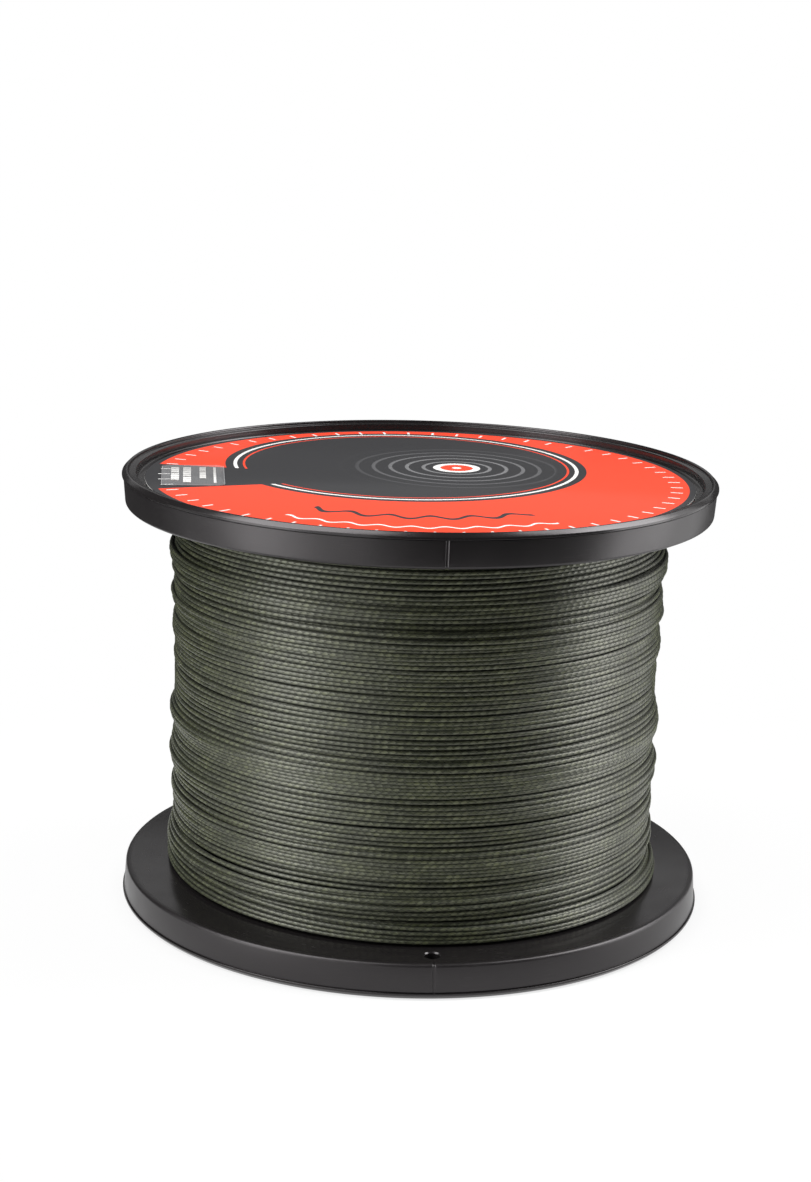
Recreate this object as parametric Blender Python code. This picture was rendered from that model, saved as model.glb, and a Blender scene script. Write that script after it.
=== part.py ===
"""Fishing line spool: two moulded halves, a label, a sticker and the wound line.

The spool stands on its lower lip. The origin is at the middle of that lip, on
the surface that the spool stands on, and +Z runs up the spool's axis. The line
keeper of both flanges lies almost towards -Y.
"""

from math import cos, pi, radians, sin

import bmesh
import bpy
import numpy as np

MM = 0.001  # Blender's unit is the metre

# Overall
SPOOL_HEIGHT = 59.4 * MM
FLANGE_DIAMETER = 80.0 * MM
FLANGE_THICKNESS = 4.56 * MM
ROUND_STEPS = 60  # facets of every turned shape

# Rim of a flange, from its outer end inwards
LIP_HEIGHT = 0.83 * MM  # from the outer end to the parting line
LIP_WIDTH = 0.9 * MM
LIP_ROUND = 0.4 * MM
LIP_CHAMFER = 0.2 * MM  # inner edge of the lip
PARTING_STEP = 0.2 * MM  # the lip stands this far proud of the band
BAND_DRAFT = 0.27 * MM  # what the band loses in radius on its way to the line side
BAND_ROUND = 0.75 * MM  # line-side edge of the band
LEDGE_WIDTH = 1.0 * MM
LEDGE_DEPTH = 0.4 * MM
RECESS_DEPTH = 1.55 * MM  # from the outer end to the face that carries the label

# Cored pockets between the spokes in that face
SPOKES = 8
SPOKE_WIDTH = 2.4 * MM
POCKET_DEPTH = 1.3 * MM
POCKET_INSIDE = 2.6 * MM  # from the barrel's outside
POCKET_OUTSIDE = 4.4 * MM  # from the recess wall
POCKET_ROUND = 1.2 * MM

# Line keeper: a hole in the web, and a groove from it over the rim to the parting line
KEEPER_TURN = radians(4.7)  # from -Y towards +X
KEEPER_HOLE_DIAMETER = 2.0 * MM
KEEPER_HOLE_INSET = 1.6 * MM  # from the recess wall to the hole's centre
GROOVE_WIDTH = 0.75 * MM
GROOVE_DEPTH = 0.35 * MM
GROOVE_STOP = 0.15 * MM  # what the groove leaves of the band above the parting line

# Barrel and hub
BARREL_DIAMETER = 44.0 * MM
BARREL_WALL = 2.4 * MM
BARREL_ROOT_FILLET = 0.6 * MM
END_WALL = 2.2 * MM  # flat end of the drum, inside the barrel
BORE_DIAMETER = 16.0 * MM
BORE_CHAMFER = 0.8 * MM
HUB_WALL = 1.8 * MM
HUB_DRAFT = 0.3 * MM
RIBS = 6
RIB_WIDTH = 1.4 * MM
RIB_ROOT = 0.8 * MM  # how far a rib runs into each wall that it joins
RIB_SETBACK = 2.5 * MM  # the ribs end this far short of the socket's floor

# Joint between the halves
JOINT_GAP = 0.3 * MM
SPIGOT_HEIGHT = 3.0 * MM
SPIGOT_WALL = 1.2 * MM
SPIGOT_LEAD = 0.3 * MM  # chamfer that guides the spigot into its socket

# Label and sticker
LABEL_GAP = 0.1 * MM
LABEL_THICKNESS = 0.25 * MM
LABEL_MARGIN = 1.15 * MM  # bare ring between the label and the recess wall
STICKER_THICKNESS = 0.1 * MM
STICKER_WIDTH = 8.4 * MM  # measured along the label's radius
STICKER_LENGTH = 13.8 * MM
STICKER_ROUND = 1.1 * MM
STICKER_MARGIN = 2.2 * MM  # from the label's edge to the sticker's long side
STICKER_TURN = radians(185.5)  # direction of the sticker's middle, from +X

# Wound line
FILL_MARGIN = 7.0 * MM  # from the line's outside to the lip's outside
LINE_TO_FLANGE = 0.3 * MM
LAYER_GAP = 0.1 * MM  # round the anchor tape
CORE_TO_TURNS = 0.3 * MM
TURNS = 24
POINTS_PER_TURN = 24
GAP_BETWEEN_TURNS = 0.45 * MM
TAPE_THICKNESS = 0.1 * MM
TAPE_LENGTH = 14.0 * MM
TAPE_HEIGHT = 9.0 * MM
TAPE_STEPS = 6
LINE_START_TURN = radians(90)  # both ends of the outer layer lie at the back

CUTTER_REACH = 2.0 * MM  # how far a cutter runs past what it cuts

# Places that follow from the sizes above
LIP_RADIUS = FLANGE_DIAMETER / 2
LEDGE_RADIUS = LIP_RADIUS - LIP_WIDTH
RECESS_RADIUS = LEDGE_RADIUS - LEDGE_WIDTH
BAND_RADIUS = LIP_RADIUS - PARTING_STEP
KEEPER_RADIUS = RECESS_RADIUS - KEEPER_HOLE_INSET
BARREL_RADIUS = BARREL_DIAMETER / 2
BARREL_BORE = BARREL_RADIUS - BARREL_WALL
BORE_RADIUS = BORE_DIAMETER / 2
HUB_RADIUS = BORE_RADIUS + HUB_WALL
HALF_HEIGHT = (SPOOL_HEIGHT - JOINT_GAP) / 2
SPIGOT_RADIUS = BARREL_BORE + SPIGOT_WALL
SOCKET_FLOOR = HALF_HEIGHT - SPIGOT_HEIGHT - JOINT_GAP
LABEL_RADIUS = RECESS_RADIUS - LABEL_MARGIN
LABEL_BASE = SPOOL_HEIGHT - RECESS_DEPTH + LABEL_GAP
CORE_BORE = BARREL_RADIUS + TAPE_THICKNESS + 2 * LAYER_GAP
WOUND_BASE = FLANGE_THICKNESS + LINE_TO_FLANGE
WOUND_TOP = SPOOL_HEIGHT - WOUND_BASE
TURN_PITCH = (WOUND_TOP - WOUND_BASE + GAP_BETWEEN_TURNS) / (TURNS + 1)
TURN_DIAMETER = TURN_PITCH - GAP_BETWEEN_TURNS
TURN_RADIUS = LIP_RADIUS - FILL_MARGIN - TURN_DIAMETER / 2
TURN_INSIDE = TURN_RADIUS * cos(pi / POINTS_PER_TURN) - TURN_DIAMETER / 2
CORE_RADIUS = TURN_INSIDE - CORE_TO_TURNS


def clear_scene():
    for obj in list(bpy.data.objects):
        bpy.data.objects.remove(obj, do_unlink=True)


def plain_material(name, colour, roughness, metallic=0.0, alpha=1.0):
    material = bpy.data.materials.new(name)
    material.use_nodes = True
    shader = material.node_tree.nodes["Principled BSDF"]
    shader.inputs["Base Color"].default_value = (*colour, 1.0)
    shader.inputs["Roughness"].default_value = roughness
    shader.inputs["Metallic"].default_value = metallic
    shader.inputs["Alpha"].default_value = alpha
    material.diffuse_color = (*colour, alpha)
    return material


def object_from(bm, name, material=None):
    """Turns a bmesh into a shaded object in the scene, with its faces pointing out."""
    bmesh.ops.remove_doubles(bm, verts=bm.verts, dist=1e-7)
    bmesh.ops.recalc_face_normals(bm, faces=bm.faces)
    mesh = bpy.data.meshes.new(name)
    bm.to_mesh(mesh)
    bm.free()
    mesh.shade_smooth()
    mesh.set_sharp_from_angle(angle=radians(28))
    if material:
        mesh.materials.append(material)
    obj = bpy.data.objects.new(name, mesh)
    bpy.context.collection.objects.link(obj)
    return obj


def turned(profile, name, material=None):
    """Spins a closed profile of (radius, height) points once round the Z axis."""
    bm = bmesh.new()
    verts = [bm.verts.new((radius, 0, height)) for radius, height in profile]
    edges = [bm.edges.new((a, b)) for a, b in zip(verts, verts[1:] + verts[:1])]
    bmesh.ops.spin(
        bm,
        geom=verts + edges,
        axis=(0, 0, 1),
        cent=(0, 0, 0),
        angle=2 * pi,
        steps=ROUND_STEPS,
    )
    return object_from(bm, name, material)


def prism(bm, outline, low, high):
    """Adds a closed upright prism over a flat outline of (x, y) points."""
    face = bm.faces.new([bm.verts.new((x, y, low)) for x, y in outline])
    raised = bmesh.ops.extrude_face_region(bm, geom=[face])["geom"]
    bmesh.ops.translate(
        bm,
        verts=[item for item in raised if isinstance(item, bmesh.types.BMVert)],
        vec=(0, 0, high - low),
    )


def arc(centre_x, centre_y, radius, start, end, steps):
    """Points on a circle from angle start to angle end, both included."""
    angles = [start + (end - start) * i / steps for i in range(steps + 1)]
    return [(centre_x + radius * cos(a), centre_y + radius * sin(a)) for a in angles]


def rounded_outline(width, length, corner, steps=4):
    """A flat rectangle with round corners, this wide along X and this long along Y."""
    x, y = width / 2 - corner, length / 2 - corner
    corners = ((x, y, 0), (-x, y, 90), (-x, -y, 180), (x, -y, 270))
    outline = []
    for centre_x, centre_y, turn in corners:
        start = radians(turn)
        outline += arc(centre_x, centre_y, corner, start, start + pi / 2, steps)
    return outline


def helper(obj, parent):
    """Marks a cutter or an added body, which only its Boolean uses."""
    obj.hide_render = True
    obj.display_type = "WIRE"
    obj.parent = parent
    return obj


def combine(obj, other, operation):
    modifier = obj.modifiers.new(other.name, "BOOLEAN")
    modifier.operation = operation
    modifier.solver = "EXACT"
    modifier.object = helper(other, obj)


def band_profile(inset):
    """The band from the parting line round its line-side edge, this far under its surface."""
    edge = BAND_RADIUS - BAND_DRAFT - BAND_ROUND
    round_edge = arc(
        edge, FLANGE_THICKNESS - BAND_ROUND, BAND_ROUND - inset, 0, pi / 2, 4
    )
    return [(BAND_RADIUS - inset, LIP_HEIGHT)] + round_edge


def rim_profile():
    """From the label face over the lip and round the band to the line side."""
    points = [
        (RECESS_RADIUS, RECESS_DEPTH),
        (RECESS_RADIUS, LEDGE_DEPTH),
        (LEDGE_RADIUS, LEDGE_DEPTH),
        (LEDGE_RADIUS, LIP_CHAMFER),
        (LEDGE_RADIUS + LIP_CHAMFER, 0),
    ]
    points += arc(LIP_RADIUS - LIP_ROUND, LIP_ROUND, LIP_ROUND, -pi / 2, 0, 3)
    points.append((LIP_RADIUS, LIP_HEIGHT))
    return points + band_profile(0)


def half_profile(has_spigot):
    """One half, with heights measured from its outer end towards the joint."""
    fillet = BARREL_ROOT_FILLET
    points = [(BORE_RADIUS + BORE_CHAMFER, RECESS_DEPTH)]
    points += rim_profile()
    points += arc(
        BARREL_RADIUS + fillet, FLANGE_THICKNESS + fillet, fillet, -pi / 2, -pi, 2
    )
    points.append((BARREL_RADIUS, HALF_HEIGHT))
    if has_spigot:
        tip = HALF_HEIGHT + SPIGOT_HEIGHT
        points += [
            (SPIGOT_RADIUS, HALF_HEIGHT),
            (SPIGOT_RADIUS, tip - SPIGOT_LEAD),
            (SPIGOT_RADIUS - SPIGOT_LEAD, tip),
            (BARREL_BORE, tip),
        ]
    else:
        socket = SPIGOT_RADIUS + JOINT_GAP
        points += [
            (socket, HALF_HEIGHT),
            (socket, SOCKET_FLOOR),
            (BARREL_BORE, SOCKET_FLOOR),
        ]
    points += [
        (BARREL_BORE, RECESS_DEPTH + END_WALL),
        (HUB_RADIUS + HUB_DRAFT, RECESS_DEPTH + END_WALL),
        (HUB_RADIUS, HALF_HEIGHT),
        (BORE_RADIUS, HALF_HEIGHT),
        (BORE_RADIUS, RECESS_DEPTH + BORE_CHAMFER),
    ]
    return points


def pocket_outline(turn):
    """One cored pocket: a sector between two spokes, with round corners."""
    inside = BARREL_RADIUS + POCKET_INSIDE
    outside = RECESS_RADIUS - POCKET_OUTSIDE
    half_spoke = SPOKE_WIDTH / 2
    corner = POCKET_ROUND
    reach = pi / SPOKES
    inner_reach = reach - (half_spoke + corner) / (inside + corner)
    outer_reach = reach - (half_spoke + corner) / (outside - corner)
    outline = arc(0, 0, outside, turn - outer_reach, turn + outer_reach, 6)
    outline += corner_points(outside - corner, turn + outer_reach, corner, 0)
    outline += corner_points(inside + corner, turn + inner_reach, corner, pi / 2)
    outline += arc(0, 0, inside, turn + inner_reach, turn - inner_reach, 3)
    outline += corner_points(inside + corner, turn - inner_reach, corner, pi)
    outline += corner_points(outside - corner, turn - outer_reach, corner, -pi / 2)
    return outline


def corner_points(distance, turn, corner, start):
    """The two points between the ends of a quarter-round corner, centred at that
    distance and turn from the axis and starting at an angle from that direction."""
    centre_x, centre_y = distance * cos(turn), distance * sin(turn)
    return arc(centre_x, centre_y, corner, turn + start, turn + start + pi / 2, 3)[1:-1]


def pockets(name):
    bm = bmesh.new()
    for index in range(SPOKES):
        turn = 2 * pi * (index + 0.5) / SPOKES
        floor = RECESS_DEPTH + POCKET_DEPTH
        prism(bm, pocket_outline(turn), RECESS_DEPTH - CUTTER_REACH, floor)
    return object_from(bm, name)


def drum_ribs(name):
    """Radial walls inside the drum, from within the hub wall to within the barrel wall."""
    inner = HUB_RADIUS - RIB_ROOT
    outer = BARREL_BORE + RIB_ROOT
    low = RECESS_DEPTH + END_WALL - RIB_ROOT
    half = RIB_WIDTH / 2
    bm = bmesh.new()
    for index in range(RIBS):
        turn = 2 * pi * (index + 0.5) / RIBS
        along, across = (cos(turn), sin(turn)), (-sin(turn), cos(turn))
        corners = ((inner, -half), (outer, -half), (outer, half), (inner, half))
        outline = [
            (r * along[0] + s * across[0], r * along[1] + s * across[1])
            for r, s in corners
        ]
        prism(bm, outline, low, SOCKET_FLOOR - RIB_SETBACK)
    return object_from(bm, name)


def keeper_hole(name):
    bm = bmesh.new()
    circle = arc(0, -KEEPER_RADIUS, KEEPER_HOLE_DIAMETER / 2, 0, 2 * pi, 16)[:-1]
    prism(bm, circle, -CUTTER_REACH, FLANGE_THICKNESS + CUTTER_REACH)
    return object_from(bm, name)


def keeper_groove(name):
    """A slab whose inner edge follows the flange's surface, one groove's depth below it."""
    outside = LIP_RADIUS + CUTTER_REACH
    above = FLANGE_THICKNESS + CUTTER_REACH
    start, *edge = band_profile(GROOVE_DEPTH)
    outline = [
        (outside, LIP_HEIGHT + GROOVE_STOP),
        (start[0], LIP_HEIGHT + GROOVE_STOP),
        *edge,
        (KEEPER_RADIUS, FLANGE_THICKNESS - GROOVE_DEPTH),
        (KEEPER_RADIUS, above),
        (outside, above),
    ]
    bm = bmesh.new()
    half = GROOVE_WIDTH / 2
    face = bm.faces.new([bm.verts.new((-half, -r, z)) for r, z in outline])
    moved = bmesh.ops.extrude_face_region(bm, geom=[face])["geom"]
    bmesh.ops.translate(
        bm,
        verts=[item for item in moved if isinstance(item, bmesh.types.BMVert)],
        vec=(GROOVE_WIDTH, 0, 0),
    )
    return object_from(bm, name)


def spool_half(name, has_spigot, material):
    """One moulding, standing on its outer end, with its line keeper towards -Y."""
    half = turned(half_profile(has_spigot), name, material)
    combine(half, drum_ribs(name + "_ribs"), "UNION")
    combine(half, pockets(name + "_pockets"), "DIFFERENCE")
    combine(half, keeper_hole(name + "_hole"), "DIFFERENCE")
    combine(half, keeper_groove(name + "_groove"), "DIFFERENCE")
    return half


def top_label(material):
    bm = bmesh.new()
    rim = arc(0, 0, LABEL_RADIUS, 0, 2 * pi, ROUND_STEPS)[:-1]
    prism(bm, rim, LABEL_BASE, LABEL_BASE + LABEL_THICKNESS)
    return object_from(bm, "top_label", material)


def strength_sticker(material):
    bm = bmesh.new()
    outline = rounded_outline(STICKER_WIDTH, STICKER_LENGTH, STICKER_ROUND)
    prism(bm, outline, 0, STICKER_THICKNESS)
    sticker = object_from(bm, "strength_sticker", material)
    height = LABEL_BASE + LABEL_THICKNESS + LABEL_GAP
    middle = LABEL_RADIUS - STICKER_MARGIN - STICKER_WIDTH / 2
    x, y = middle * cos(STICKER_TURN), middle * sin(STICKER_TURN)
    sticker.location = (x, y, height)
    sticker.rotation_euler.z = STICKER_TURN
    return sticker


def line_core(material):
    """All the inner layers of line, as one ring round the barrel."""
    chamfer = BARREL_ROOT_FILLET
    profile = [
        (CORE_RADIUS, WOUND_TOP),
        (CORE_RADIUS, WOUND_BASE),
        (CORE_BORE + chamfer, WOUND_BASE),
        (CORE_BORE, WOUND_BASE + chamfer),
        (CORE_BORE, WOUND_TOP - chamfer),
        (CORE_BORE + chamfer, WOUND_TOP),
    ]
    return turned(profile, "line_core", material)


def outer_turn_points():
    """The outer layer's middle line: a helix with a short straight run at each end."""
    count = TURNS * POINTS_PER_TURN
    start = WOUND_BASE + TURN_DIAMETER / 2
    points = []
    for index in range(count + 1):
        turn = LINE_START_TURN + 2 * pi * index / POINTS_PER_TURN
        height = start + TURN_PITCH * index / POINTS_PER_TURN
        points.append((TURN_RADIUS * cos(turn), TURN_RADIUS * sin(turn), height))
    points = np.array(points)
    tangent = np.array((-sin(LINE_START_TURN), cos(LINE_START_TURN), 0))
    first = points[0] - TURN_DIAMETER * tangent
    last = points[-1] + TURN_DIAMETER * tangent
    return np.vstack((first, points, last))


def least_gap(points):
    """Smallest distance between stretches of the tube half a turn or more apart."""
    least = np.inf
    for index in range(len(points) - POINTS_PER_TURN // 2):
        others = points[index + POINTS_PER_TURN // 2 :]
        least = min(least, np.linalg.norm(others - points[index], axis=1).min())
    return least - TURN_DIAMETER


def line_outer_turns(material):
    points = outer_turn_points()
    curve = bpy.data.curves.new("line_outer_turns", "CURVE")
    curve.dimensions = "3D"
    curve.twist_mode = "Z_UP"
    curve.bevel_depth = TURN_DIAMETER / 2
    curve.bevel_resolution = 1
    curve.use_fill_caps = True
    spline = curve.splines.new("POLY")
    spline.points.add(len(points) - 1)
    spline.points.foreach_set("co", np.insert(points, 3, 1, axis=1).ravel())
    curve.materials.append(material)
    turns = bpy.data.objects.new("line_outer_turns", curve)
    bpy.context.collection.objects.link(turns)
    print(f"least gap between turns: {least_gap(points) / MM:.2f} mm")
    return turns


def anchor_tape(material):
    """A strip stuck on the barrel at the back, over the line's first turn."""
    inside = BARREL_RADIUS + LAYER_GAP
    outside = inside + TAPE_THICKNESS
    base = WOUND_BASE + BARREL_ROOT_FILLET
    corners = ((inside, base), (outside, base))
    top = base + TAPE_HEIGHT
    corners += ((outside, top), (inside, top))
    sweep = TAPE_LENGTH / BARREL_RADIUS
    start = LINE_START_TURN - sweep / 2
    bm = bmesh.new()
    section = [bm.verts.new((r * cos(start), r * sin(start), z)) for r, z in corners]
    face = bm.faces.new(section)
    bmesh.ops.spin(
        bm,
        geom=[face],
        axis=(0, 0, 1),
        cent=(0, 0, 0),
        angle=sweep,
        steps=TAPE_STEPS,
    )
    return object_from(bm, "anchor_tape", material)


def main():
    clear_scene()
    black = plain_material("black_moulding", (0.012, 0.012, 0.013), 0.32)
    print_red = plain_material("label_laminate", (0.85, 0.09, 0.05), 0.3)
    clear = plain_material("clear_film", (0.8, 0.8, 0.8), 0.1, alpha=0.4)
    braid = plain_material("olive_braid", (0.045, 0.052, 0.035), 0.6)
    tape = plain_material("paper_tape", (0.6, 0.55, 0.42), 0.7)

    lower = spool_half("lower_spool_half", True, black)
    upper = spool_half("upper_spool_half", False, black)
    lower.rotation_euler = (0, 0, KEEPER_TURN)
    upper.rotation_euler = (0, pi, KEEPER_TURN)
    upper.location.z = SPOOL_HEIGHT

    pieces = [lower, upper]
    pieces.append(top_label(print_red))
    pieces.append(strength_sticker(clear))
    pieces.append(line_core(braid))
    pieces.append(line_outer_turns(braid))
    pieces.append(anchor_tape(tape))

    spool = bpy.data.objects.new("spool", None)
    bpy.context.collection.objects.link(spool)
    for piece in pieces:
        piece.parent = spool


main()
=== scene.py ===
"""Fishing line spool: two moulded halves wound with braid, a printed label and a sticker.

The file is laid out as a Blender add-on. Sizes and colours are properties, each
piece is modelled by its own operator, and main() calls them in order of making.
Everything is in metres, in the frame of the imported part: the spool stands on
z = 0, its axis is Z, and the line keeper of both flanges is almost towards -Y.
"""

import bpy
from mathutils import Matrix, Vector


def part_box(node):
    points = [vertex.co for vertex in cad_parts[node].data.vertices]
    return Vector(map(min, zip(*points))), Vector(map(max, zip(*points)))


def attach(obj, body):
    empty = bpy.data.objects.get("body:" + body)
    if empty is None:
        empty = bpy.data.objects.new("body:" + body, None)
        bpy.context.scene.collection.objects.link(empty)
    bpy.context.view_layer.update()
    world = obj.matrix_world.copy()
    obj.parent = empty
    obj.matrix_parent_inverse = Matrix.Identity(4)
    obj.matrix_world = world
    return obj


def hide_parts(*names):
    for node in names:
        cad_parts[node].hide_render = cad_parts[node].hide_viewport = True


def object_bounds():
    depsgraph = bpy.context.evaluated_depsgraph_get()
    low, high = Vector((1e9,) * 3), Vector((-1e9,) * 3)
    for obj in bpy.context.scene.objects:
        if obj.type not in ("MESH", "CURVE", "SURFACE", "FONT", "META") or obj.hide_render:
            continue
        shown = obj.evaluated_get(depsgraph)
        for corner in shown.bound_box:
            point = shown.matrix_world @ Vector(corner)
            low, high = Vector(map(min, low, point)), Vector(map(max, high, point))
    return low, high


bl_info = {
    "name": "Fishing Line Spool",
    "version": (1, 0, 0),
    "blender": (4, 5, 0),
    "location": "3D View > Sidebar > Spool",
    "description": "Models and dresses a moulded spool with wound braid, a label and a sticker",
    "category": "Add Mesh",
}

from math import atan2, cos, pi, radians, sin

import bpy
import numpy as np
from mathutils import Quaternion, Vector

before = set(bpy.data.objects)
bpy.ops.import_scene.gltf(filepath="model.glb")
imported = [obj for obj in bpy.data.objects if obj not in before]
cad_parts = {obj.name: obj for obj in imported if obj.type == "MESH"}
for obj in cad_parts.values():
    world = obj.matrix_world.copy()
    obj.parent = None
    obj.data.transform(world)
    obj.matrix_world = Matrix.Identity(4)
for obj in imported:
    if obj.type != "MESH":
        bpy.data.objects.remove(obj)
CAD_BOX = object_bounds()

MM = 0.001
BODY = "root"

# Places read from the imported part
SPOOL_HEIGHT = CAD_BOX[1].z
FLANGE_RADIUS = round(CAD_BOX[1].x, 4)
LABEL_LOW, LABEL_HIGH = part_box("top_label")
STICKER_LOW, STICKER_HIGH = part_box("strength_sticker")
CORE_LOW, CORE_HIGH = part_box("line_core")
TURNS_LOW, TURNS_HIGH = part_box("line_outer_turns")

PACK_BORE = 22.3 * MM  # round the barrel and its tape
LAY_SEED = 11
LAY_ROUNDS = 60  # how often crowded turns push each other apart
RIDGES_DRAWN = 60  # more than the spool is high


def kind(prop, convert=lambda value: value, **options):
    """Makes properties of one kind from rows of identifier=(default, description)."""

    def make(**rows):
        return {
            key: prop(
                name=key.replace("_", " ").capitalize(),
                description=text,
                default=convert(default),
                **options,
            )
            for key, (default, text) in rows.items()
        }

    return make


# Lengths are given in millimetres and held in metres; angles are given in degrees
lengths = kind(
    bpy.props.FloatProperty, lambda mm: mm * MM, min=0.0, precision=5, subtype="DISTANCE", unit="LENGTH"
)
angles = kind(bpy.props.FloatProperty, radians, subtype="ANGLE")
shares = kind(bpy.props.FloatProperty, min=0.0, max=1.0, subtype="FACTOR")
numbers = kind(bpy.props.FloatProperty, min=0.0)
counts = kind(bpy.props.IntProperty, min=1)
colours = kind(bpy.props.FloatVectorProperty, min=0.0, max=1.0, size=3, subtype="COLOR")
places = kind(bpy.props.FloatVectorProperty, subtype="TRANSLATION", unit="LENGTH")


class SPOOL_PG_moulding(bpy.types.PropertyGroup):
    """Sizes and colour of the two moulded halves"""

    __annotations__ = lengths(
        flange_thickness=(4.56, "From the lip's end to the line side"),
        lip_height=(0.83, "From the lip's end to the parting line"),
        lip_width=(0.9, "Radial width of the raised lip"),
        lip_slant=(0.55, "Width of the slanted outer edge of the lip"),
        lip_ease=(0.25, "Rounding where that slant begins and ends"),
        parting_width=(0.1, "Width of the fine groove under the lip"),
        parting_depth=(0.3, "From the lip's outside to that groove's floor"),
        band_step=(0.2, "The band lies this far inside the lip"),
        band_draft=(0.27, "What the band loses in radius towards the line"),
        band_round=(0.45, "Line-side edge of the band"),
        ledge_width=(1.0, "Flat step inside the lip"),
        ledge_depth=(0.4, "From the lip's end to that step"),
        recess_depth=(1.55, "From the lip's end to the face under the label"),
        barrel_radius=(22.0, "Outside of the barrel"),
        barrel_wall=(2.4, "Thickness of the barrel"),
        barrel_fillet=(0.6, "Where the barrel meets the flange"),
        end_wall=(2.2, "Flat end of the drum"),
        bore_radius=(8.0, "Hole for a winder's spindle"),
        bore_round=(0.8, "Mouth of that hole"),
        hub_wall=(1.8, "Thickness of the hub tube"),
        hub_draft=(0.3, "What the hub tube gains at its root"),
        joint_gap=(0.3, "Between the halves, and round the spigot"),
        spigot_height=(3.0, "How far the lower half reaches into the upper"),
        spigot_wall=(1.2, "Thickness of the spigot"),
    )
    __annotations__ |= counts(segments=(240, "Facets of every turned shape"))
    __annotations__ |= colours(black=((0.0095, 0.0085, 0.0088), "Colour of the plastic"))
    __annotations__ |= shares(
        satin=(0.34, "Roughness of the band"),
        sheen=(0.22, "Roughness of the web beside the line"),
        polish=(0.2, "Roughness of the lip"),
    )


class SPOOL_PG_cuts(bpy.types.PropertyGroup):
    """Pockets, ribs and the line keeper"""

    __annotations__ = lengths(
        spoke_width=(2.4, "Width of the webs between the cored pockets"),
        pocket_depth=(1.3, "Depth of those pockets"),
        pocket_inside=(2.6, "From the barrel's outside to a pocket"),
        pocket_outside=(4.4, "From a pocket to the recess wall"),
        pocket_round=(1.2, "Corners of a pocket"),
        rib_width=(1.4, "Thickness of a radial wall inside the drum"),
        rib_root=(0.8, "How far a rib runs into each wall that it joins"),
        rib_setback=(2.5, "The ribs end this far short of the socket's floor"),
        hole_diameter=(2.0, "Line keeper's hole"),
        hole_inset=(1.6, "From the recess wall to the hole's centre"),
        groove_width=(0.6, "Line keeper's groove over the rim"),
        groove_lift=(0.2, "How far the groove's centre stands off the surface"),
    )
    __annotations__ |= counts(spokes=(8, "Spokes of a flange"), ribs=(6, "Ribs in the drum"))
    __annotations__ |= angles(keeper_turn=(4.7, "Keeper's direction, from -Y towards +X"))


class SPOOL_PG_line(bpy.types.PropertyGroup):
    """The wound braid"""

    __annotations__ = lengths(
        strand_width=(0.55, "Width of the braid as it lies"),
        strand_thickness=(0.5, "Thickness of the braid as it lies"),
        pitch=(0.62, "Mean spacing of the turns"),
        squeeze=(0.46, "Closest that two turns of a layer lie"),
        slack=(0.86, "Farthest apart that two turns of a layer lie"),
        bed=(0.47, "Centre distance of strands that lie on one another"),
        lay_error=(0.26, "How far a turn strays from an even lay"),
        ridge_height=(1.6, "Height of the ridges that the traverse leaves"),
        ridge_width=(6.4, "Mean width of those ridges"),
        pick_length=(1.0, "Length of one pick of the braid"),
    )
    __annotations__ |= counts(
        steps=(96, "Rings of the tube in one turn"),
        sides=(8, "Sides of the tube"),
        extra_turns=(4, "Turns laid last, over the lower end"),
    )
    __annotations__ |= colours(
        olive=((0.021, 0.026, 0.011), "Body colour of the braid"),
        pale=((0.098, 0.105, 0.07), "Grey filaments that catch the light"),
        moss=((0.1, 0.112, 0.04), "Yellowish filaments"),
        # Painted shade: this colour is laid in the hollows between the picks and where neighbouring
        # turns meet.
        dark=((0.004, 0.005, 0.003), "Colour between the picks"),
    )


class SPOOL_PG_label(bpy.types.PropertyGroup):
    """The printed label and the clear sticker on it"""

    __annotations__ = lengths(
        edge_round=(0.07, "Rolled edge of the laminate"),
        sticker_width=(8.4, "Along the label's radius"),
        sticker_length=(13.8, "Across the label's radius"),
        sticker_round=(1.1, "Radius of the sticker's corners"),
    )
    __annotations__ |= counts(segments=(192, "Facets of the disc"))
    __annotations__ |= shares(film=(0.16, "How much the film veils what is under it"))
    __annotations__ |= colours(
        red=((0.84, 0.056, 0.02), "Main printed colour"),
        charcoal=((0.026, 0.026, 0.028), "Dark printed colour"),
        white=((0.8, 0.79, 0.77), "Unprinted paper"),
        ripple=((0.17, 0.17, 0.175), "Grey of the ripple rings"),
    )


class SPOOL_PG_stage(bpy.types.PropertyGroup):
    """Floor, lamps and camera"""

    __annotations__ = numbers(
        lens=(70.59, "Focal length on a 36 mm sensor, in mm"),
        backdrop=(1.0, "White seen behind the spool"),
        daylight=(0.05, "Strength of the even light"),
    )
    __annotations__ |= places(
        camera_place=((-1.602 * MM, -307.24 * MM, 118.16 * MM), "Where the camera stands")
    )
    __annotations__ |= angles(
        camera_drop=(13.841, "How far the camera looks down"),
        camera_roll=(1.564, "Turn about its own line of sight"),
    )
    __annotations__ |= lengths(table_radius=(120.0, "Round table that the spool stands on"))
    __annotations__ |= colours(floor_colour=((0.8, 0.8, 0.8), "Colour of the table"))
    __annotations__ |= shares(whiteness=(0.93, "How far the table blends with the backdrop"))


# Modelling helpers


def deselect():
    """An operator acts on all that is selected, so each piece starts with nothing selected."""
    if bpy.context.object and bpy.context.object.mode != "OBJECT":
        bpy.ops.object.mode_set(mode="OBJECT")
    bpy.ops.object.select_all(action="DESELECT")


def pick(piece):
    deselect()
    piece.select_set(True)
    bpy.context.view_layer.objects.active = piece


def put(name, data):
    """Places new data in the scene, at the origin."""
    piece = bpy.data.objects.new(name, data)
    bpy.context.collection.objects.link(piece)
    return piece


def ring(name, vertices, radius, height, away=0.0, fill="NGON"):
    """A circle, and edit mode opened on it with all of it selected."""
    deselect()
    bpy.ops.mesh.primitive_circle_add(
        vertices=vertices, radius=radius, fill_type=fill, location=(0, -away, height)
    )
    bpy.context.object.name = name
    return edit(bpy.context.object)


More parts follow.
